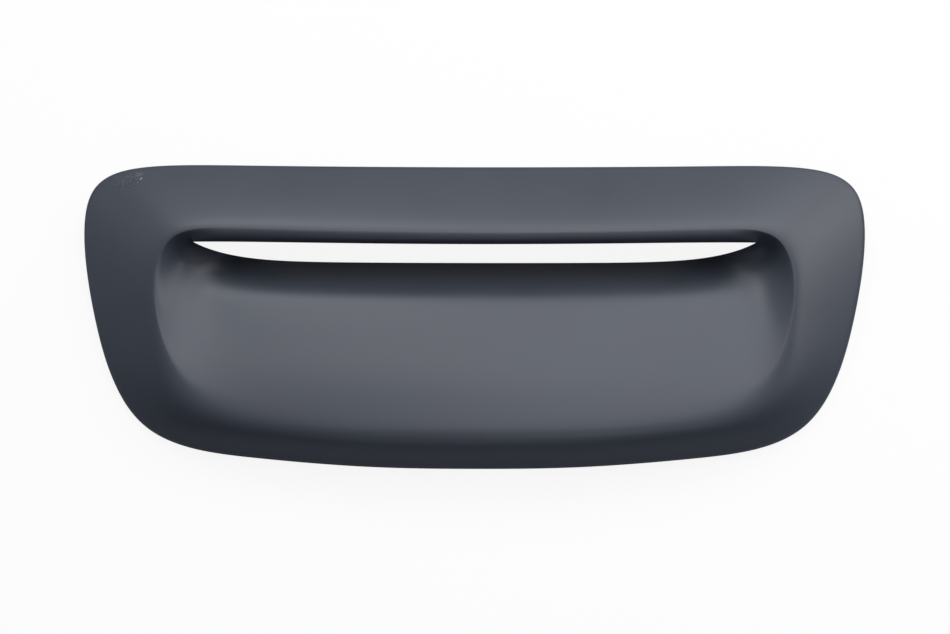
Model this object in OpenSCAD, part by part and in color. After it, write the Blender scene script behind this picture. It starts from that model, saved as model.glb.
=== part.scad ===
// Hood scoop trim: one moulded shell with a wide recess that runs back to a slot under a raised lip.
// X is sideways, +Y is towards the rear edge, +Z is out of the hood. Millimetres.

/* [Outline] */
// Width over the side edges
overall_w = 553; // [520:1:580]
// Depth from the front edge to the rear corners
overall_d = 220; // [212:1:232]
// Radius of the sideways crown
crown_r = 2000; // [1600:50:3000]
// Wall thickness of the moulding
wall = 2.5; // [2:0.1:3]
// Height of the turned-down rim
rim_drop = 6; // [5:0.5:9]
// Rounding of the rim's upper edge
rim_round = 1.5; // [0.8:0.1:2]

/* [Heights above the table at the middle] */
// Top of the lip in front of the rear band
lip_h = 56; // [50:1:62]
// Shoulder in front of the recess
shoulder_h = 40; // [36:1:43]
// Rear edge
rear_edge_h = 36; // [32:1:42]
// Front edge
front_edge_h = 14; // [12:1:18]
// Extra height of the side edges
side_rise = 4; // [2:0.5:8]

/* [Recess] */
// Width of the rear band, rear corners to recess
rear_band = 58; // [54:1:64]
// Width of each side band
side_band = 55.5; // [50:0.5:60]
// Width of the front band
front_band = 27.5; // [26:0.5:32]
// Fall of the ramp from the shoulder to the roll-off
ramp_fall = 8; // [5:0.5:8]
// Length over which the ramp rolls down to the slot
roll_len = 46; // [38:1:50]
// Width over which the recess sides come down to the ramp
side_wall_w = 60; // [40:1:70]

/* [Slot] */
// Distance from the recess side to the slot's pointed end
end_inset = 24.5; // [21:0.5:30]
// How far the lip's edge stands in front of its top
lip_reach = 6; // [5:0.5:8]
// Height of the lip's edge below its top
lip_roll = 6; // [5.5:0.5:8]
// Height of the straight face at both edges of the slot
edge_face = 2; // [1.5:0.5:4]
// How far the slot's ends lie in front of the recess edge
tip_back = 5.5; // [4:0.5:7]
// Gap between the lip's edge and the ramp's edge seen from above
slot_lap = 4; // [2:0.5:6]
// Height of the ramp's edge
ramp_edge_h = 2.5; // [2.5:0.5:8]
// Height of the slot's pointed ends
tip_h = 39.5; // [37:0.5:41]

/* [Screw posts] */
// Distance between the left and right posts
post_gap_x = 290; // [260:2:320]
// Distance between the front and rear posts
post_gap_y = 160; // [156:1:166]
// Distance from the front edge to the front posts
post_front_y = 26; // [25:0.5:28]
// Distance between the two side posts
side_post_gap = 488; // [470:2:496]
// Distance from the front edge to the side posts
side_post_y = 120; // [100:1:140]
// Diameter of a post
post_d = 10; // [8:0.5:12]
// Diameter of the screw hole in a post
hole_d = 3.8; // [3:0.1:4.6]
// Depth of the screw hole
hole_depth = 11; // [8:1:16]
// Height of the plane in which the posts end
post_h = 12; // [8:1:14]

/* [Hidden] */

// Steps around the ring and across the skin
around = 96;
band_steps = 7;
recess_steps = 18;

// Control points of the outline and of the recess edge, from the rear middle to the front middle.
// Each is a share of the half width and of the depth, and the curve is a uniform cubic spline.
rim_shape = [[0, 0.966], [0.588, 0.985], [0.952, 1.020], [1.019, 0.865],
             [0.970, 0.494], [0.864, 0.095], [0.544, 0.037], [0.255, 0.002], [0, -0.001]];
recess_shape = [[0, 0.947], [0.522, 0.971], [0.805, 1.003], [0.986, 1.000],
                [1.019, 0.623], [0.913, 0.127], [0.638, 0.030], [0.326, 0.010], [0, -0.005]];

turns = 16;       // spline spans in a whole ring
tip_turn = 2.5;   // ring position of the slot's pointed end
side_turn = 4;    // ring position where the side bands end and the front corners begin
front_turn = 7;   // ring position where the front band begins
blend_start = 2;  // ring position where the lip's form begins to pass into the ramp's
blend_turns = 1.7;

// Exponents and shares of the curves
side_bow = 1.15;    // side band's section
front_bow = 2.25;   // front band's section
side_soft = 0.07;   // rounding of the band's top at the sides
front_soft = 1.3;   // rounding of the band's top in front
lip_bow = 1.3;      // lip's edge in plan
slot_bow = 0.8;     // ramp's edge in plan
slot_flat = 7.5;    // ramp's edge in height, flat in the middle
slot_ease = 0.9;    // ramp's edge in height, near its ends
ramp_bow = 1.7;     // ramp's middle line
ramp_level = 0.5;   // share of the crown that the ramp loses towards the slot
wall_foot = 2.4;    // side wall's run out into the ramp
wall_top = 1.5;     // side wall's rounded top
roll_ease = 0.6;    // share of the roll-off in which its slope eases in
roll_share = 0.9;   // most of the skin's length that the roll-off takes
limit_power = 4;    // sharpness of the softened limit

recess_hw = overall_w / 2 - side_band;
recess_d = overall_d - rear_band - front_band;
tip_x = recess_hw - end_inset;

function clamp01(t) = min(max(t, 0), 1);
function smooth(t) = let (c = clamp01(t)) c * c * (3 - 2 * c);
function lerp(a, b, t) = a + (b - a) * t;
function soft_min(a, b) = pow(pow(a, -limit_power) + pow(b, -limit_power), -1 / limit_power);

function ring(half) = concat(half, [for (i = [len(half) - 2 : -1 : 1]) [-half[i].x, half[i].y]]);
function spline(ctrl, u) =
    let (n = len(ctrl), i = floor(u), f = u - i,
         a = ctrl[(i + n - 1) % n], b = ctrl[i % n], c = ctrl[(i + 1) % n], d = ctrl[(i + 2) % n])
    (a * pow(1 - f, 3) + b * (3 * pow(f, 3) - 6 * f * f + 4)
     + c * (-3 * pow(f, 3) + 3 * f * f + 3 * f + 1) + d * pow(f, 3)) / 6;

rim_ctrl = [for (p = ring(rim_shape)) [p.x * overall_w / 2, p.y * overall_d]];
recess_ctrl = [for (p = ring(recess_shape)) [p.x * recess_hw, front_band + p.y * recess_d]];

// Position along the half ring, 0 at the rear middle and 8 at the front middle
function half_turn(u) = min(u, turns - u);

// The crown, and the heights of the recess edge and of the outline above it
function crown(x) = -x * x / (2 * crown_r);
edge_mid_y = spline(recess_ctrl, 0).y;
function crest_h(y) = lerp(shoulder_h, lip_h, (y - front_band) / (edge_mid_y - front_band));
function rim_h(y) = let (v = y / overall_d)
    lerp(front_edge_h, rear_edge_h, v) + side_rise * 4 * v * (1 - v);

// Profile of the band from the outline (0) to the recess edge (1): crowned, with a rounded top
function to_front(u) = smooth((half_turn(u) - side_turn) / (front_turn - side_turn));
function band_power(u) = lerp(side_bow, front_bow, to_front(u));
function band_soft(u) = lerp(side_soft, front_soft, to_front(u));
function band_fall(t, k, e) = (sqrt(pow(1 - t, 2 * k) + e * e) - e) / (sqrt(1 + e * e) - e);
function band_point(u, t) =
    let (r = spline(rim_ctrl, u), c = spline(recess_ctrl, u), p = lerp(r, c, t), top = crest_h(c.y))
    [p.x, p.y, crown(p.x) + top - (top - rim_h(r.y)) * band_fall(t, band_power(u), band_soft(u))];

// Edge of the slot: the lip's edge behind, the ramp's edge in front, meeting in two points
tip_edge = spline(recess_ctrl, tip_turn);
tip_y = tip_edge.y - tip_back;
lip_mid_y = edge_mid_y - lip_reach;
function slot_point(u) =
    let (c = spline(recess_ctrl, u), h = half_turn(u), behind = h <= tip_turn,
         side = c.x < 0 ? -1 : 1,
         x = behind ? abs(c.x) * tip_x / tip_edge.x
                    : tip_x * sin(90 * (turns / 2 - h) / (turns / 2 - tip_turn)),
         r = x / tip_x, bow = clamp01(1 - r * r))
    [side * x,
     behind ? lerp(tip_y, lip_mid_y, pow(bow, lip_bow))
            : lerp(tip_y, lip_mid_y + slot_lap, pow(bow, slot_bow)),
     behind ? lerp(tip_h, lip_h - lip_roll, bow)
            : lerp(tip_h, ramp_edge_h, pow(clamp01(1 - pow(r, slot_flat)), slot_ease))];

// Skin inside the recess edge: 0 at that edge, 1 at the slot
ramp_end_y = lip_mid_y + slot_lap - roll_len;
function ramp_h(y) = shoulder_h - ramp_fall
                     * pow(max(y - front_band, 0) / (ramp_end_y - front_band), ramp_bow);
function floor_h(x, y) = crown(x) * (1 - ramp_level * smooth((y - front_band) / recess_d)) + ramp_h(y);

// Side wall from the edge (0, height 1) to its foot (1, height 0), steep near the edge
function wall_rise(q) = 1 - pow(1 - pow(1 - clamp01(q), wall_foot), wall_top);

// Roll-off from 0 to 1: its slope eases in, and then stays
function roll_off(q) =
    let (r = clamp01(q / roll_ease))
    (roll_ease * (pow(r, 3) - pow(r, 4) / 2) + clamp01(q - roll_ease)) / (1 - roll_ease / 2);

// The lip is a quarter ellipse from the edge to the slot, the ramp a height over the plan
function lip_side(c, s, top, t) =
    let (p = lerp([c.x, c.y], [s.x, s.y], sin(90 * t))) [p.x, p.y, top - (top - s.z) * (1 - cos(90 * t))];
function ramp_side(c, s, top, t) =
    let (p = lerp([c.x, c.y], [s.x, s.y], t),
         length = norm([s.x, s.y] - c),
         at_edge = wall_rise(t * length / soft_min(side_wall_w, length)),
         rolled = roll_off(1 - (1 - t) * length / soft_min(roll_len, roll_share * length)))
    [p.x, p.y, floor_h(p.x, p.y) * (1 - at_edge) + top * at_edge - (floor_h(s.x, s.y) - s.z) * rolled];
function recess_point(u, t) =
    let (c = spline(recess_ctrl, u), s = slot_point(u), top = crown(c.x) + crest_h(c.y))
    lerp(lip_side(c, s, top, t), ramp_side(c, s, top, t),
         smooth((half_turn(u) - blend_start) / blend_turns));

// Rows of the outer skin, outline to slot, and the unit normals that the inner skin is set back along
us = [for (i = [0 : around - 1]) turns * i / around];
skin = concat(
    [for (j = [0 : band_steps]) [for (u = us) band_point(u, j / band_steps)]],
    [for (j = [1 : recess_steps]) [for (u = us) recess_point(u, j / recess_steps)]]);
last = len(skin) - 1;
function unit(v) = v / norm(v);
function normal(j, i) =
    unit(cross(skin[min(j + 1, last)][i] - skin[max(j - 1, 0)][i],
               skin[j][(i + 1) % around] - skin[j][(i + around - 1) % around]));
inner = [for (j = [1 : last - 1]) [for (i = [0 : around - 1]) skin[j][i] - wall * normal(j, i)]];

// The outline moved in plan by d, away from the middle, and down by h
function rim_ring(d, h) = [for (i = [0 : around - 1])
    let (t = skin[0][(i + 1) % around] - skin[0][(i + around - 1) % around])
    skin[0][i] + d * unit([-t.y, t.x, 0]) - [0, 0, h]];

// The slot's edge moved in plan by d, into the wall, and down to the end of its straight face
function slot_ring(d) = [for (i = [0 : around - 1])
    let (s = skin[last][i], out = unit(spline(recess_ctrl, us[i]) - [s.x, s.y]))
    s + d * [out.x, out.y, 0] - [0, 0, edge_face]];

module scoop_shell() {
    rows = concat([rim_ring(0, rim_drop), rim_ring(0, rim_round)],
                  [for (j = [1 : last]) skin[j]],
                  [slot_ring(0), slot_ring(wall)],
                  [for (j = [last - 2 : -1 : 0]) inner[j]],
                  [rim_ring(-wall, rim_drop)]);
    m = len(rows);
    polyhedron(points = [for (row = rows) each row],
               faces = [for (j = [0 : m - 1], i = [0 : around - 1])
                        let (a = j * around + i, b = j * around + (i + 1) % around,
                             c = (j + 1) % m * around + (i + 1) % around, d = (j + 1) % m * around + i)
                        each [[a, b, c], [a, c, d]]]);
}

// Height of the skin over a place in plan: that of the triangle's plane at the nearest grid point
function skin_h(x, y) =
    let (best = min([for (j = [1 : last - 1], p = skin[j]) norm([p.x - x, p.y - y])]),
         near = [for (j = [1 : last - 1], i = [0 : around - 1])
                 if (norm([skin[j][i].x - x, skin[j][i].y - y]) <= best) [skin[j][i], normal(j, i)]][0],
         p = near[0], n = near[1])
    p.z - (n.x * (x - p.x) + n.y * (y - p.y)) / n.z;

// A post under the band with a blind screw hole. Its top is cut along the middle of the wall, by the
// plane through the skin's heights at the post's own edge.
module post(x, y) {
    r = post_d / 2;
    east = skin_h(x + r, y);
    west = skin_h(x - r, y);
    north = skin_h(x, y + r);
    south = skin_h(x, y - r);
    n = unit([west - east, south - north, post_d]);
    z = (east + west + north + south) / 4 - wall / 2 / n.z;
    difference() {
        translate([x, y, ground + post_h]) cylinder(d = post_d, h = lip_h, $fn = 48);
        translate([x, y, z]) rotate([0, acos(n.z), atan2(n.y, n.x)])
            translate([-lip_h, -lip_h, 0]) cube([2 * lip_h, 2 * lip_h, 2 * lip_h]);
        translate([x, y, ground + post_h - 1]) cylinder(d = hole_d, h = hole_depth + 1, $fn = 32);
    }
}

// The moulding lies on the lowest points of its rim and of the slot's edge
ground = min([for (p = concat(rim_ring(0, rim_drop), slot_ring(0))) p.z]);
rim_ys = [for (p = rim_ring(0, 0)) p.y];

module scoop_moulding() {
    color("#3b3d44") translate([0, -(min(rim_ys) + max(rim_ys)) / 2, -ground]) {
        scoop_shell();
        for (side = [-1, 1]) {
            post(side * post_gap_x / 2, post_front_y);
            post(side * post_gap_x / 2, post_front_y + post_gap_y);
            post(side * side_post_gap / 2, side_post_y);
        }
    }
}

scoop_moulding();
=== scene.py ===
"""Hood scoop trim: one moulding in satin charcoal primer, lying on a pale floor.

The moulding's skin is worked out on a grid from the same named sizes as the part's source, in
millimetres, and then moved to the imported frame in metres.
"""

import bmesh
import bpy
import numpy as np
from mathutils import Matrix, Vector


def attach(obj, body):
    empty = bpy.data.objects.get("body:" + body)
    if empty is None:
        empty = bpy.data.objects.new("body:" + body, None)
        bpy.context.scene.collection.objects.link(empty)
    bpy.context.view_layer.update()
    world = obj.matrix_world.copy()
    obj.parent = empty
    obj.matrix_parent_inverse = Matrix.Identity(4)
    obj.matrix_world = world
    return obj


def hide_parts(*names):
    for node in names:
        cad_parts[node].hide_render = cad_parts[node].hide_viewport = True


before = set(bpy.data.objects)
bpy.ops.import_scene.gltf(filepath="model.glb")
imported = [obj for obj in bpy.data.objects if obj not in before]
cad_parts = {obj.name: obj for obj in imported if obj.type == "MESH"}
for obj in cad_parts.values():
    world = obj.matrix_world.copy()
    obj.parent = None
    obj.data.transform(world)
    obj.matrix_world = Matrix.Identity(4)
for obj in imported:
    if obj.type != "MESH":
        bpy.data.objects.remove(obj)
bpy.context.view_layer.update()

MM = 0.001

# Outline, wall and rim
WIDTH, DEPTH = 553.0, 220.0
CROWN_R = 2000.0
WALL = 2.5
RIM_DROP, RIM_ROUND = 6.0, 1.5

# Heights at the middle, before the moulding is set down on its lowest points
LIP_H, SHOULDER_H, REAR_EDGE_H, FRONT_EDGE_H = 56.0, 40.0, 36.0, 14.0
SIDE_RISE = 4.0

# Recess
REAR_BAND, SIDE_BAND, FRONT_BAND = 58.0, 55.5, 27.5
RAMP_FALL, ROLL_LEN, SIDE_WALL_W = 8.0, 46.0, 60.0

# Slot
END_INSET, LIP_REACH, LIP_ROLL, EDGE_FACE = 24.5, 6.0, 6.0, 2.0
TIP_BACK, SLOT_LAP, RAMP_EDGE_H, TIP_H = 5.5, 4.0, 2.5, 39.5

# Screw posts
POST_GAP_X, POST_GAP_Y, POST_FRONT_Y = 290.0, 160.0, 26.0
SIDE_POST_GAP, SIDE_POST_Y = 488.0, 120.0
POST_R, HOLE_R, HOLE_DEPTH, POST_H = 5.0, 1.9, 11.0, 12.0
POST_CHAMFER = 0.4      # at the hole's mouth and at the post's end
POST_FLARE = 1.0        # how much the radius grows at the post's foot
FOOT_START, FOOT_END, FOOT_TOP = 4.0, 1.5, 0.4      # foot's heights below the middle of the wall

# Shares of the half width and of the depth, from the rear middle round to the front middle
RIM_SHAPE = ((0, 0.966), (0.588, 0.985), (0.952, 1.020), (1.019, 0.865),
             (0.970, 0.494), (0.864, 0.095), (0.544, 0.037), (0.255, 0.002), (0, -0.001))
RECESS_SHAPE = ((0, 0.947), (0.522, 0.971), (0.805, 1.003), (0.986, 1.000),
                (1.019, 0.623), (0.913, 0.127), (0.638, 0.030), (0.326, 0.010), (0, -0.005))

TURNS = 16.0        # spline spans in a whole ring
HALF = TURNS / 2
TIP_TURN = 2.5      # ring position of the slot's pointed ends
SIDE_TURN = 4.0     # ring position where the side bands end and the front corners begin
FRONT_TURN = 7.0    # ring position where the front band begins
BLEND_START = 2.0   # ring position where the lip's form begins to pass into the ramp's
BLEND_TURNS = 1.7   # ring positions over which it passes

# Exponents and shares of the curves
SIDE_BOW, FRONT_BOW = 1.15, 2.25        # sections of the bands
SIDE_SOFT, FRONT_SOFT = 0.07, 1.3       # rounding of the bands' tops
LIP_BOW, SLOT_BOW = 1.3, 0.8            # edges of the slot in plan
SLOT_FLAT, SLOT_EASE = 7.5, 0.9         # ramp's edge in height, in the middle and near its ends
RAMP_BOW, RAMP_LEVEL = 1.7, 0.5         # ramp's middle line, and the share of the crown that it loses
WALL_FOOT, WALL_TOP = 2.4, 1.5          # side wall's run out into the ramp, and its rounded top
ROLL_EASE, ROLL_SHARE = 0.6, 0.9        # where the roll-off's slope eases in, and its longest share
LIMIT_POWER = 4.0                       # sharpness of the softened limit

# Soft recess edge in front, which the part's source leaves out: a mean of heights across the edge
SOFT_EDGE = 12.0                    # reach of the mean to each side
SOFT_FADE, SOFT_BAND = 30.0, 0.8    # where it ends: distance on the ramp, and share of the band
SOFT_TURNS = 2.0                    # ring positions over which it grows, from the sides on
SOFT_STEPS, BELL_DEPTH = 9, 0.96    # heights in the mean, and how far their weights fall

# Small edges: roundings at the rim's foot and the slot, where their middle passes, inner corners
EDGE_ROUND, ROUND_MID, INNER_CORNER = 0.5, 0.15, 0.4
RIM_INSET, SLOT_INSET = 1.6, 1.5    # where the inner skin ends, in walls from the rim and the slot

# Steps round the ring, across the skin and round a post
AROUND = 480
BAND_STEPS, RECESS_STEPS, INNER_STEPS = 30, 64, 40
POST_SIDES = 48
BAND_CROWD = 1.1                    # power that draws the band's rows together at the rim
TIP_CROWD, TIP_SPREAD = 3.0, 0.35   # extra steps at the slot's ends, and their spread on the ring
RING_SAMPLES = 4001                 # samples of the density of steps round the ring

RECESS_HW = WIDTH / 2 - SIDE_BAND
RECESS_D = DEPTH - REAR_BAND - FRONT_BAND
TIP_X = RECESS_HW - END_INSET


def smooth(t):
    """Ease from 0 to 1: three t squared less two t cubed, held outside 0 to 1."""
    t = np.clip(t, 0.0, 1.0)
    return t * t * (3 - 2 * t)


def mix(a, b, t):
    """Straight mix of a and b, a at t = 0 and b at t = 1."""
    return a + (b - a) * t


def soft_min(a, b):
    """Smaller of a and b with a rounded corner.

    Both are taken to the same negative power and added, and the root of the sum is taken.
    """
    return (a ** -LIMIT_POWER + b ** -LIMIT_POWER) ** (-1 / LIMIT_POWER)


def closed_curve(half, scale, shift, u):
    """Uniform cubic spline round a mirrored half ring of control points.

    The four control points round position u are weighted with the cubic basis polynomials of
    the fraction f of u, and the result is scaled and shifted in plan.
    """
    half = np.array(half, float)
    ring = np.vstack([half, half[-2:0:-1] * [-1, 1]]) * scale + shift
    i = np.floor(u).astype(int)
    f = (u - i)[..., None]
    p = [ring[(i + k) % len(ring)] for k in (-1, 0, 1, 2)]
    return (p[0] * (1 - f) ** 3 + p[1] * (3 * f ** 3 - 6 * f ** 2 + 4)
            + p[2] * (-3 * f ** 3 + 3 * f ** 2 + 3 * f + 1) + p[3] * f ** 3) / 6


def rim_curve(u):
    """Outline in plan."""
    return closed_curve(RIM_SHAPE, (WIDTH / 2, DEPTH), (0, 0), u)


def recess_curve(u):
    """Edge of the recess in plan."""
    return closed_curve(RECESS_SHAPE, (RECESS_HW, RECESS_D), (0, FRONT_BAND), u)


def half_turn(u):
    """Position along the half ring: 0 at the rear middle and 8 at the front middle."""
    return np.minimum(u, TURNS - u)


EDGE_MID_Y = recess_curve(np.zeros(1))[0, 1]
LIP_MID_Y = EDGE_MID_Y - LIP_REACH
RAMP_END_Y = LIP_MID_Y + SLOT_LAP - ROLL_LEN
TIP_EDGE = recess_curve(np.array([TIP_TURN]))[0]
TIP_Y = TIP_EDGE[1] - TIP_BACK


def crown(x):
    """Sideways crown: minus x squared over twice the crown's radius."""
    return -x * x / (2 * CROWN_R)


def crest_h(y):
    """Height of the recess edge: straight from the shoulder in front to the lip."""
    return mix(SHOULDER_H, LIP_H, (y - FRONT_BAND) / (EDGE_MID_Y - FRONT_BAND))


def rim_h(y):
    """Height of the outline: straight from front to rear, plus a parabola that lifts the sides."""
    v = y / DEPTH
    return mix(FRONT_EDGE_H, REAR_EDGE_H, v) + SIDE_RISE * 4 * v * (1 - v)


def band_point(u, t):
    """Band from the outline (t = 0) to the recess edge (t = 1).

    In plan a straight mix of the two curves. In height the crest less the drop to the outline,
    times the root of (1 - t) to twice a power plus a softening square, less the softening.
    """
    rim, edge = rim_curve(u), recess_curve(u)
    turn = smooth((half_turn(u) - SIDE_TURN) / (FRONT_TURN - SIDE_TURN))
    power, soft = mix(SIDE_BOW, FRONT_BOW, turn), mix(SIDE_SOFT, FRONT_SOFT, turn)
    fall = (np.sqrt((1 - t) ** (2 * power) + soft ** 2) - soft) / (np.sqrt(1 + soft ** 2) - soft)
    plan = mix(rim, edge, t[..., None])
    top = crest_h(edge[..., 1])
    return np.stack([plan[..., 0], plan[..., 1],
                     crown(plan[..., 0]) + top - (top - rim_h(rim[..., 1])) * fall], -1)


def slot_point(u):
    """Edge of the slot: the lip's edge behind and the ramp's edge in front.

    Across, the recess edge's own spacing behind and a sine in front. In depth and height each
    goes from the pointed end to its middle value with a power of one less the squared share of
    the half length. For the height of the ramp's edge that share has a higher power.
    """
    edge = recess_curve(u)
    h = half_turn(u)
    behind = h <= TIP_TURN
    x = np.where(behind, np.abs(edge[..., 0]) * TIP_X / TIP_EDGE[0],
                 TIP_X * np.sin(np.pi / 2 * np.clip((HALF - h) / (HALF - TIP_TURN), 0, 1)))
    share = x / TIP_X
    bow = np.clip(1 - share ** 2, 0, 1)
    y = np.where(behind, mix(TIP_Y, LIP_MID_Y, bow ** LIP_BOW),
                 mix(TIP_Y, LIP_MID_Y + SLOT_LAP, bow ** SLOT_BOW))
    z = np.where(behind, mix(TIP_H, LIP_H - LIP_ROLL, bow),
                 mix(TIP_H, RAMP_EDGE_H, np.clip(1 - share ** SLOT_FLAT, 0, 1) ** SLOT_EASE))
    return np.stack([np.where(edge[..., 0] < 0, -x, x), y, z], -1)


def ramp_h(y):
    """Height of the ramp's middle line: the shoulder, less a power curve towards the roll-off."""
    along = np.maximum(y - FRONT_BAND, 0) / (RAMP_END_Y - FRONT_BAND)
    return SHOULDER_H - RAMP_FALL * along ** RAMP_BOW


def floor_h(x, y):
    """Ramp surface: its middle line plus a crown that grows flatter towards the slot."""
    return crown(x) * (1 - RAMP_LEVEL * smooth((y - FRONT_BAND) / RECESS_D)) + ramp_h(y)


def wall_rise(q):
    """Side wall's height from 1 at the edge (q = 0) to 0 at its foot (q = 1).

    One less the power of one less the foot's power of (1 - q): steep near the edge, with a
    rounded top and a long run out.
    """
    return 1 - (1 - (1 - np.clip(q, 0, 1)) ** WALL_FOOT) ** WALL_TOP


def roll_off(q):
    """Roll from 0 to 1: the slope eases in over the first share e, and then stays.

    The ease is the integral of a smooth step, e times (x cubed less half of x to the fourth).
    """
    e = ROLL_EASE
    x = np.clip(q / e, 0, 1)
    return (e * (x ** 3 - x ** 4 / 2) + np.clip(q - e, 0, 1)) / (1 - e / 2)


def recess_point(u, t):
    """Skin from the recess edge (t = 0) to the slot (t = 1).

    Behind the slot it is a quarter ellipse: sine of t across and cosine of t down. In front and
    at the sides it is the ramp, raised to the recess edge over the side wall's width, and rolled
    down to the slot's edge over the last stretch. The two blend at the ends.
    """
    edge, slot = recess_curve(u), slot_point(u)
    h = half_turn(u)
    top = crown(edge[..., 0]) + crest_h(edge[..., 1])
    angle = np.pi / 2 * t
    lip_plan = mix(edge, slot[..., :2], np.sin(angle)[..., None])
    lip_z = top - (top - slot[..., 2]) * (1 - np.cos(angle))
    plan = mix(edge, slot[..., :2], t[..., None])
    length = np.linalg.norm(slot[..., :2] - edge, axis=-1)
    at_edge = wall_rise(t * length / soft_min(SIDE_WALL_W, length))
    rolled = roll_off(1 - (1 - t) * length / soft_min(ROLL_LEN, ROLL_SHARE * length))
    drop = floor_h(slot[..., 0], slot[..., 1]) - slot[..., 2]
    ramp_z = mix(floor_h(plan[..., 0], plan[..., 1]), top, at_edge) - drop * rolled
    turn = smooth((h - BLEND_START) / BLEND_TURNS)
    return np.stack([mix(lip_plan[..., 0], plan[..., 0], turn),
                     mix(lip_plan[..., 1], plan[..., 1], turn), mix(lip_z, ramp_z, turn)], -1)


def sharp_point(u, s):
    """Whole outer skin: the band for s from 0 to 1 and the recess for s from 1 to 2."""
    return np.where((s <= 1)[..., None], band_point(u, np.clip(s, 0, 1)),
                    recess_point(u, np.clip(s - 1, 0, 1)))


def skin_point(u, s):
    """Outer skin with the recess edge made soft, as in the photo, where it runs round the front.

    The height becomes a mean of heights across the edge, weighted with a bell. Its reach grows
    from 0 at the sides to SOFT_EDGE in front, and falls back to 0 away from the edge.
    """
    point = sharp_point(u, s)
    edge = recess_curve(u)
    band_w = np.linalg.norm(rim_curve(u) - edge, axis=-1)
    recess_w = np.linalg.norm(slot_point(u)[..., :2] - edge, axis=-1)
    far = (s - 1) * np.where(s < 1, band_w, recess_w)
    fade = np.where(s < 1, SOFT_BAND * band_w, SOFT_FADE)
    growth = smooth((half_turn(u) - SIDE_TURN) / SOFT_TURNS)
    reach = SOFT_EDGE * growth * (1 - smooth(np.abs(far) / fade))
    steps = np.linspace(-1, 1, SOFT_STEPS)
    weights = (1 - steps ** 2 * BELL_DEPTH) ** 2
    height = 0
    for step, weight in zip(steps, weights / weights.sum()):
        there = far + step * reach
        share = 1 + there / np.where(there < 0, band_w, recess_w)
        height = height + weight * sharp_point(u, share)[..., 2]
    return np.stack([point[..., 0], point[..., 1], height], -1)


def unit(v):
    """Vectors of length one along v."""
    return v / np.maximum(np.linalg.norm(v, axis=-1, keepdims=True), 1e-9)


def skin_normal(u, s):
    """Unit normal: the cross product of the slopes along s and along u."""
    ds, du = 2e-3, 4e-3
    along = skin_point(u, np.clip(s + ds, 0, 2)) - skin_point(u, np.clip(s - ds, 0, 2))
    around = skin_point((u + du) % TURNS, s) - skin_point((u - du) % TURNS, s)
    return unit(np.cross(along, around))


def ring_positions(count):
    """Ring positions, closer together round the slot's pointed ends.

    The density is one plus a bell at each end, summed and inverted by interpolation.
    """
    fine = np.linspace(0, TURNS, RING_SAMPLES)
    density = 1 + TIP_CROWD * np.exp(-((half_turn(fine) - TIP_TURN) / TIP_SPREAD) ** 2)
    total = np.concatenate([[0], np.cumsum((density[1:] + density[:-1]) / 2)])
    return np.interp(np.arange(count) / count * total[-1], total, fine)


def ring_mesh(name, rows):
    """Closed mesh from rows of points in a ring, the last row joined to the first."""
    count, around = len(rows), len(rows[0])
    j, i = np.meshgrid(np.arange(count), np.arange(around), indexing="ij")
    j2, i2 = (j + 1) % count, (i + 1) % around
    quads = np.stack([j * around + i, j2 * around + i, j2 * around + i2, j * around + i2], -1)
    return mesh_object(name, np.concatenate(rows), quads.reshape(-1, 4))


def mesh_object(name, points, quads):
    """Smooth-shaded object from points in millimetres and four-cornered faces.

    Points less than a micrometre apart are merged, which closes the poles of turned shapes.
    """
    mesh = bpy.data.meshes.new(name)
    mesh.from_pydata((points * MM).tolist(), [], quads.tolist())
    loose = bmesh.new()
    loose.from_mesh(mesh)
    bmesh.ops.remove_doubles(loose, verts=loose.verts, dist=0.001 * MM)
    loose.to_mesh(mesh)
    loose.free()
    mesh.validate()
    mesh.shade_smooth()
    made = bpy.data.objects.new(name, mesh)
    bpy.context.scene.collection.objects.link(made)
    return made


u = ring_positions(AROUND)

# The moulding lies on its rim's and the ramp edge's lowest points, centred in plan
outline = skin_point(u, np.zeros(AROUND))
GROUND = min(outline[:, 2].min() - RIM_DROP, slot_point(u)[:, 2].min() - EDGE_FACE)
MID_Y = (outline[:, 1].min() + outline[:, 1].max()) / 2
SHIFT = np.array([0, -MID_Y, -GROUND])


def skin_rows(steps):
    """Rows of the outer skin at the given shares."""
    return [skin_point(u, np.full(AROUND, s)) for s in steps]


def turned_edge(points, way, profile):
    """Rows along an edge: each profile pair is a step along way in plan and a step down."""
    return [points + a * way - [0, 0, b] for a, b in profile]


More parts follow.
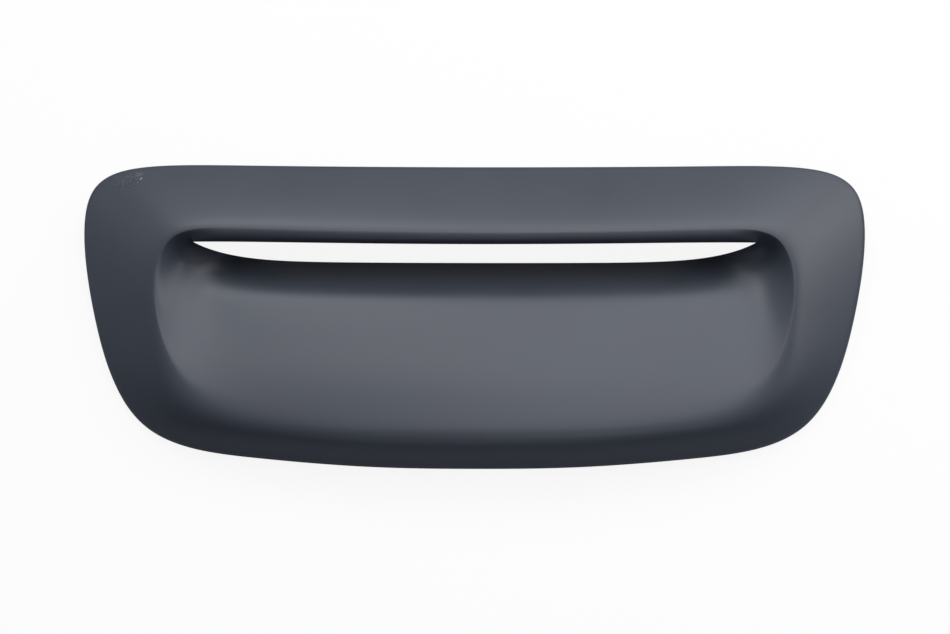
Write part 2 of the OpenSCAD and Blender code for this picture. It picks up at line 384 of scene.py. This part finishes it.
def make_skin():
    """Closed shell: rim, band, recess, slot edge and the inner skin set back by the wall."""
    tangent = np.roll(outline, -1, 0) - np.roll(outline, 1, 0)
    outward = unit(np.stack([-tangent[:, 1], tangent[:, 0], np.zeros(AROUND)], -1))
    slot = slot_point(u)
    into_wall = recess_curve(u) - slot[:, :2]
    into_wall = unit(np.column_stack([into_wall, np.zeros(AROUND)]))

    rim = turned_edge(outline, outward, [
        (-EDGE_ROUND, RIM_DROP), (-ROUND_MID, RIM_DROP - ROUND_MID), (0, RIM_DROP - EDGE_ROUND),
        (0, RIM_DROP / 2 + RIM_ROUND / 2), (0, RIM_ROUND)])
    # The rim's upper corner is a quadratic curve from the rim to a place on the band
    width = np.linalg.norm(rim_curve(u) - recess_curve(u), axis=-1)
    start = 2 * RIM_ROUND / width
    end = skin_point(u, start)
    arc = [(1 - a) ** 2 * rim[-1] + 2 * a * (1 - a) * outline + a * a * end
           for a in (0.25, 0.5, 0.75)]
    # Rows close up towards the rim, and at both ends of the recess, where lip and ramp turn down
    band = [skin_point(u, mix(start, 1, (k / BAND_STEPS) ** BAND_CROWD))
            for k in range(BAND_STEPS + 1)]
    recess = skin_rows(1 + (1 - np.cos(np.pi * np.arange(1, RECESS_STEPS + 1) / RECESS_STEPS)) / 2)
    slot_edge = turned_edge(slot, into_wall, [
        (0, EDGE_ROUND), (0, EDGE_FACE - EDGE_ROUND), (ROUND_MID, EDGE_FACE - ROUND_MID),
        (EDGE_ROUND, EDGE_FACE), (WALL - INNER_CORNER, EDGE_FACE)])
    # The inner skin runs back from near the slot to near the rim
    reach = np.linalg.norm(recess_curve(u) - slot[:, :2], axis=-1)
    inner_end = 2 - np.clip(SLOT_INSET * WALL / reach, 0.02, 0.45)
    inner_start = RIM_INSET * WALL / width
    inner = []
    for k in range(INNER_STEPS + 1):
        s = mix(inner_end, inner_start, k / INNER_STEPS)
        inner.append(skin_point(u, s) - WALL * skin_normal(u, s))
    rim_inner = turned_edge(outline, outward, [
        (-WALL, RIM_DROP - EDGE_ROUND), (INNER_CORNER - WALL, RIM_DROP)])
    rows = rim + arc + band + recess + slot_edge + inner + rim_inner
    return ring_mesh("scoop_skin", [row + SHIFT for row in rows])


def make_posts():
    """Six posts: each a profile turned round an upright axis, its top ring inside the wall.

    The top lies on the plane through the skin's heights at the post's own edge, set down by half
    of the wall.
    """
    places = [(side * POST_GAP_X / 2, POST_FRONT_Y + back)
              for side in (-1, 1) for back in (0, POST_GAP_Y)]
    places += [(side * SIDE_POST_GAP / 2, SIDE_POST_Y) for side in (-1, 1)]
    # Skin of the bands, under which all the posts stand
    grid_u, grid_s = np.meshgrid(u, np.linspace(0.02, 1, 120))
    grid = skin_point(grid_u, grid_s) + SHIFT
    normals = skin_normal(grid_u, grid_s)

    def skin_height(px, py):
        """Height over a place in plan of the plane at the nearest grid point."""
        away = np.hypot(grid[..., 0] - px, grid[..., 1] - py)
        near = np.unravel_index(np.argmin(away), grid_u.shape)
        at, n = grid[near], normals[near]
        return at[2] - (n[0] * (px - at[0]) + n[1] * (py - at[1])) / n[2]

    # Radius, height, and whether it counts from the floor (0) or from the wall's middle (1)
    profile = [(0, POST_H + HOLE_DEPTH, 0), (HOLE_R, POST_H + HOLE_DEPTH, 0),
               (HOLE_R, POST_H + POST_CHAMFER, 0), (HOLE_R + POST_CHAMFER, POST_H, 0),
               (POST_R - POST_CHAMFER, POST_H, 0), (POST_R, POST_H + POST_CHAMFER, 0),
               (POST_R, -FOOT_START, 1), (POST_R + 0.3 * POST_FLARE, -0.6 * FOOT_START, 1),
               (POST_R + POST_FLARE, -FOOT_END, 1), (POST_R + POST_FLARE, -FOOT_TOP, 1),
               (0, -FOOT_TOP, 1)]
    radius, height, on_wall = (column[:, None] for column in np.array(profile, float).T)
    angle = np.arange(POST_SIDES) / POST_SIDES * 2 * np.pi
    j, i = np.meshgrid(np.arange(len(profile) - 1), np.arange(POST_SIDES), indexing="ij")
    i2 = (i + 1) % POST_SIDES
    quads = np.stack([j * POST_SIDES + i, j * POST_SIDES + i2,
                      (j + 1) * POST_SIDES + i2, (j + 1) * POST_SIDES + i], -1).reshape(-1, 4)
    posts = []
    for x, y in places:
        y = y - MID_Y
        east, west = skin_height(x + POST_R, y), skin_height(x - POST_R, y)
        north, south = skin_height(x, y + POST_R), skin_height(x, y - POST_R)
        n = unit(np.array([west - east, south - north, 2 * POST_R]))
        px, py = x + radius * np.cos(angle), y + radius * np.sin(angle)
        middle = (east + west + north + south) / 4 - WALL / 2 / n[2]
        wall = middle - (n[0] * (px - x) + n[1] * (py - y)) / n[2]
        posts.append(np.stack([px, py, height + on_wall * wall], -1).reshape(-1, 3))
    return mesh_object("screw_posts", np.concatenate(posts),
                       np.concatenate([quads + k * len(posts[0]) for k in range(len(posts))]))


def linear(hex_colour):
    """An sRGB hex colour as linear red, green, blue and full alpha."""
    parts = [int(hex_colour[k:k + 2], 16) / 255 for k in (1, 3, 5)]
    return [p / 12.92 if p <= 0.04045 else ((p + 0.055) / 1.055) ** 2.4 for p in parts] + [1.0]


# Colour sockets of the Mix node, which has sockets of the same names for other kinds of value
MIX_A, MIX_B, MIX_OUT = 6, 7, 2

# Share of the background's white that a mirror ray sees
MIRRORED_WHITE = 0.1
# Share of glow in the floor that the camera sees. The rest is lit paper, which shows the shadow
FLOOR_GLOW = 0.9
FLOOR_HALF = 3000.0     # half of the floor's side in millimetres
ROOM_LIGHT = 0.02       # level of the room's own light, where 1 is white

# Lamps' side and distance in metres, and their colours
LAMP_SIZE, LAMP_FAR = 0.8, 2
COOL, WARM, BLUE = "#f8f9ff", "#fffbfb", "#e8ecff"

# Camera: the photograph's angle in degrees, focal length in millimetres, and in metres the
# distance and the point looked at
CAMERA_TURN, CAMERA_RISE = 0.1, 70
CAMERA_LENS, CAMERA_FAR = 93.0, 1.7
CAMERA_TARGET = np.array([0.00043, -0.0063, 0.02830])


def add_node(tree, kind, values=None, links=None, **settings):
    """Add a node with its settings, input values and links."""
    made = tree.nodes.new(kind)
    for name, value in settings.items():
        setattr(made, name, value)
    for key, value in (values or {}).items():
        made.inputs[key].default_value = value
    for key, socket in (links or {}).items():
        tree.links.new(socket, made.inputs[key])
    return made


def new_material(name):
    """Empty node material and its tree."""
    made = bpy.data.materials.new(name)
    made.use_nodes = True
    made.node_tree.nodes.clear()
    return made, made.node_tree


def spot(tree, place, x, y, length, width, turn, soft):
    """Mask of 1 inside an ellipse in plan and 0 outside, with a soft edge.

    Centre, half length and half width in millimetres, turn in degrees from X towards Y, and the
    soft edge as a share of the ellipse. The mask reaches through the whole height of the part.
    """
    local = add_node(tree, "ShaderNodeMapping",
                     {"Location": (x * MM, y * MM, 0), "Rotation": (0, 0, np.radians(turn)),
                      "Scale": (length * MM, width * MM, 1)}, {"Vector": place}, vector_type="TEXTURE")
    far = add_node(tree, "ShaderNodeVectorMath", None, {0: local.outputs["Vector"]}, operation="LENGTH")
    return add_node(tree, "ShaderNodeMapRange", {"From Min": 1.0, "From Max": 1 - soft},
                    {"Value": far.outputs["Value"]}, interpolation_type="SMOOTHSTEP").outputs["Result"]


def patches(tree, place, size, detail, low, high):
    """Patchy mask: noise with features of a size in millimetres.

    It is cut so that it is 0 up to the low level and 1 from the high level on.
    """
    made = add_node(tree, "ShaderNodeTexNoise", {"Scale": 1 / (size * MM), "Detail": detail},
                    {"Vector": place})
    return add_node(tree, "ShaderNodeMapRange", {"From Min": low, "From Max": high},
                    {"Value": made.outputs["Fac"]}).outputs["Result"]


def painted(tree, under, masks, amount, hex_colour):
    """Colour under a new one, which covers it by an amount where all the masks are 1."""
    share = masks[0]
    for mask in masks[1:]:
        both = add_node(tree, "ShaderNodeMath", None, {0: share, 1: mask}, operation="MULTIPLY")
        share = both.outputs[0]
    cover = add_node(tree, "ShaderNodeMath", {1: amount}, {0: share}, operation="MULTIPLY")
    return add_node(tree, "ShaderNodeMix", {MIX_B: linear(hex_colour)},
                    {"Factor": cover.outputs[0], MIX_A: under}, data_type="RGBA").outputs[MIX_OUT]


def charcoal_primer():
    """Satin charcoal primer sprayed over moulded ABS: a soft broad sheen over a faint orange peel.

    It has the photo's wear: a mottled scuff with two chipped specks at the rear left corner, and
    three faint dark specks on the rear band.
    """
    made, tree = new_material("satin_charcoal_primer")
    coordinates = add_node(tree, "ShaderNodeTexCoord")
    place = coordinates.outputs["Object"]
    # Clouds of slightly uneven spray, about 60 mm across
    clouds = patches(tree, place, 60.0, 2.0, 0.3, 0.7)
    tint = add_node(tree, "ShaderNodeMix", {MIX_A: linear("#363b44"), MIX_B: linear("#383e47")},
                    {"Factor": clouds}, data_type="RGBA").outputs[MIX_OUT]

    # Places shifted by at most 1.2 mm, with noise of about 1.5 mm, so that marks have ragged edges
    ragged = add_node(tree, "ShaderNodeTexNoise", {"Scale": 1 / (1.5 * MM), "Detail": 3.0},
                      {"Vector": place})
    shifted = add_node(tree, "ShaderNodeVectorMath",
                       {1: (2.4 * MM, 2.4 * MM, 0), 2: (-1.2 * MM, -1.2 * MM, 0)},
                       {0: ragged.outputs["Color"]}, operation="MULTIPLY_ADD")
    rough_place = add_node(tree, "ShaderNodeVectorMath", None, {0: place, 1: shifted.outputs[0]},
                           operation="ADD").outputs[0]
    # The marks lie on faces that look up, and not on the inside below them
    facing = add_node(tree, "ShaderNodeSeparateXYZ", None, {"Vector": coordinates.outputs["Normal"]})
    outside = add_node(tree, "ShaderNodeMath", {1: 0.0}, {0: facing.outputs["Z"]},
                       operation="GREATER_THAN").outputs[0]
    # Scuff of 27 by 18 mm: darker all over, with pale mottling of about 2 mm
    scuff = spot(tree, rough_place, -246.0, 96.4, 13.5, 9.0, 20.0, 0.5)
    tint = painted(tree, tint, (outside, scuff), 0.6, "#2a2d33")
    mottling = patches(tree, place, 2.0, 3.0, 0.45, 0.6)
    tint = painted(tree, tint, (outside, scuff, mottling), 0.3, "#5e646d")
    # Rubbed place of 9 by 6 mm at its rear end, with streaks of about 1 mm
    rubbed = spot(tree, rough_place, -238.2, 102.4, 4.5, 3.0, 30.0, 0.7)
    streaks = patches(tree, place, 1.0, 2.0, 0.35, 0.6)
    tint = painted(tree, tint, (outside, rubbed, streaks), 0.42, "#70767e")
    # Two chips through the primer to paler filler, about 3 mm and 1 mm long
    for x, y, length, width in ((-236.4, 98.4, 1.5, 0.7), (-238.6, 95.0, 0.6, 0.6)):
        chip = spot(tree, rough_place, x, y, length, width, 50.0, 0.5)
        tint = painted(tree, tint, (outside, chip), 1.0, "#a2a7ad")
    # Specks of dust under the primer: place, radius in millimetres and darkness
    for x, y, size, amount in ((44.2, 49.6, 0.9, 0.7), (-9.3, 94.2, 2.2, 0.25),
                               (147.2, 97.8, 2.2, 0.2)):
        speck = spot(tree, rough_place, x, y, size, size, 0.0, 0.7)
        tint = painted(tree, tint, (outside, speck), amount, "#1a1d22")

    # Orange peel, about 1.6 mm from dimple to dimple
    peel = add_node(tree, "ShaderNodeTexNoise", {"Scale": 1 / (1.6 * MM), "Detail": 1.0},
                    {"Vector": place})
    bump = add_node(tree, "ShaderNodeBump", {"Strength": 0.15, "Distance": 0.02 * MM},
                    {"Height": peel.outputs["Fac"]})
    # Satin, slightly duller in the clouds and in the scuff
    even = add_node(tree, "ShaderNodeMapRange", {"To Min": 0.43, "To Max": 0.45}, {"Value": clouds})
    rough = add_node(tree, "ShaderNodeMath", {1: 0.05}, {0: scuff, 2: even.outputs["Result"]},
                     operation="MULTIPLY_ADD")
    shader = add_node(tree, "ShaderNodeBsdfPrincipled", {"IOR": 1.5},
                      {"Base Color": tint, "Roughness": rough.outputs[0],
                       "Normal": bump.outputs["Normal"]})
    add_node(tree, "ShaderNodeOutputMaterial", None, {"Surface": shader.outputs["BSDF"]})
    return made


def white_seen(tree):
    """How white a ray sees the background.

    The value is 1 from the camera or through clear material, MIRRORED_WHITE in a mirror, and 0
    for the light that falls on the part. The front band and the roll-off mirror the floor, and
    in the photo they stay dark: a fully white mirror image made them twice as light.
    """
    path = add_node(tree, "ShaderNodeLightPath")
    direct = add_node(tree, "ShaderNodeMath", None,
                      {0: path.outputs["Is Camera Ray"], 1: path.outputs["Is Transmission Ray"]},
                      operation="MAXIMUM")
    mirrored = add_node(tree, "ShaderNodeMath", {1: MIRRORED_WHITE},
                        {0: path.outputs["Is Glossy Ray"]}, operation="MULTIPLY")
    return add_node(tree, "ShaderNodeMath", None, {0: direct.outputs[0], 1: mirrored.outputs[0]},
                    operation="MAXIMUM").outputs[0]


def pale_floor():
    """Pale paper floor. The camera sees it white and glowing, with the object's shadow on it."""
    made, tree = new_material("pale_floor_paper")
    seen = white_seen(tree)
    colour = add_node(tree, "ShaderNodeMix", {MIX_A: linear("#9ca3af"), MIX_B: linear("#f2f2f2")},
                      {"Factor": seen}, data_type="RGBA").outputs[MIX_OUT]
    paper = add_node(tree, "ShaderNodeBsdfDiffuse", None, {"Color": colour})
    glow = add_node(tree, "ShaderNodeEmission", {"Color": linear("#ffffff"), "Strength": 1.0})
    share = add_node(tree, "ShaderNodeMath", {1: FLOOR_GLOW}, {0: seen}, operation="MULTIPLY")
    both = add_node(tree, "ShaderNodeMixShader", None,
                    {0: share.outputs[0], 1: paper.outputs[0], 2: glow.outputs[0]})
    add_node(tree, "ShaderNodeOutputMaterial", None, {"Surface": both.outputs[0]})
    return made


def make_floor(material):
    """Flat floor, six metres square, at the height the moulding lies on."""
    corners = np.array([(-1, -1, 0), (1, -1, 0), (1, 1, 0), (-1, 1, 0)]) * FLOOR_HALF
    floor = mesh_object("floor", corners, np.array([(0, 1, 2, 3)]))
    floor.data.materials.append(material)


def make_world():
    """Even grey room light, and white where the camera looks past the floor."""
    world = bpy.data.worlds.new("room")
    world.use_nodes = True
    world.node_tree.nodes.clear()
    tree = world.node_tree
    strength = add_node(tree, "ShaderNodeMix", {"A": ROOM_LIGHT, "B": 1.0},
                        {"Factor": white_seen(tree)})
    back = add_node(tree, "ShaderNodeBackground", {"Color": linear("#ffffff")},
                    {"Strength": strength.outputs["Result"]})
    add_node(tree, "ShaderNodeOutputWorld", None, {"Surface": back.outputs[0]})
    bpy.context.scene.world = world


def aim(made, place, target):
    """Put a lamp or camera at a place, looking at a target, with its upper side up."""
    made.location = place
    made.rotation_euler = (Vector(target) - Vector(place)).to_track_quat("-Z", "Y").to_euler()


def direction(azimuth, elevation):
    """Unit direction from two angles: azimuth 0 is in front and 90 to the right, elevation is up."""
    a, e = np.radians([azimuth, elevation])
    return np.array([np.sin(a) * np.cos(e), -np.cos(a) * np.cos(e), np.sin(e)])


def make_lamp(name, azimuth, elevation, power, hex_colour):
    """Square soft box that faces the middle of the part, 30 mm above the floor."""
    lamp = bpy.data.lights.new(name, "AREA")
    lamp.shape = "SQUARE"
    lamp.size = LAMP_SIZE
    lamp.energy = power
    lamp.color = linear(hex_colour)[:3]
    made = bpy.data.objects.new(name, lamp)
    bpy.context.scene.collection.objects.link(made)
    aim(made, direction(azimuth, elevation) * LAMP_FAR, (0, 0, 30 * MM))


def make_camera():
    """Camera at the photograph's angle, 70 degrees above the floor."""
    camera = bpy.data.cameras.new("camera")
    camera.sensor_width = 36.0
    camera.lens = CAMERA_LENS
    made = bpy.data.objects.new("camera", camera)
    bpy.context.scene.collection.objects.link(made)
    aim(made, CAMERA_TARGET + direction(CAMERA_TURN, CAMERA_RISE) * CAMERA_FAR, CAMERA_TARGET)
    bpy.context.scene.camera = made


primer = charcoal_primer()
skin = make_skin()
posts = make_posts()
for piece in (skin, posts):
    piece.data.materials.append(primer)
    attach(piece, "root")
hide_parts("scoop_moulding")

make_floor(pale_floor())
make_world()
# Name, azimuth, elevation, watts and colour
for lamp in (("soft_box_over", 160, 60, 8.7, COOL),
             ("soft_box_over_high", 150, 76, 5.2, COOL),
             ("soft_box_over_left", 200, 44, 14.8, COOL),
             ("soft_box_rear_right", 150, 35, 10.5, COOL),
             ("soft_box_right", 120, 28, 9.2, WARM),
             ("soft_box_right_front", 100, 28, 6.1, COOL),
             ("soft_box_left", 240, 28, 2.8, COOL),
             ("fill_left_low", 260, 12, 1.4, BLUE),
             ("fill_front", 0, 28, 2.6, BLUE),
             ("fill_front_high", 20, 60, 3.4, COOL)):
    make_lamp(*lamp)
make_camera()
bpy.context.scene.view_settings.view_transform = "Standard"
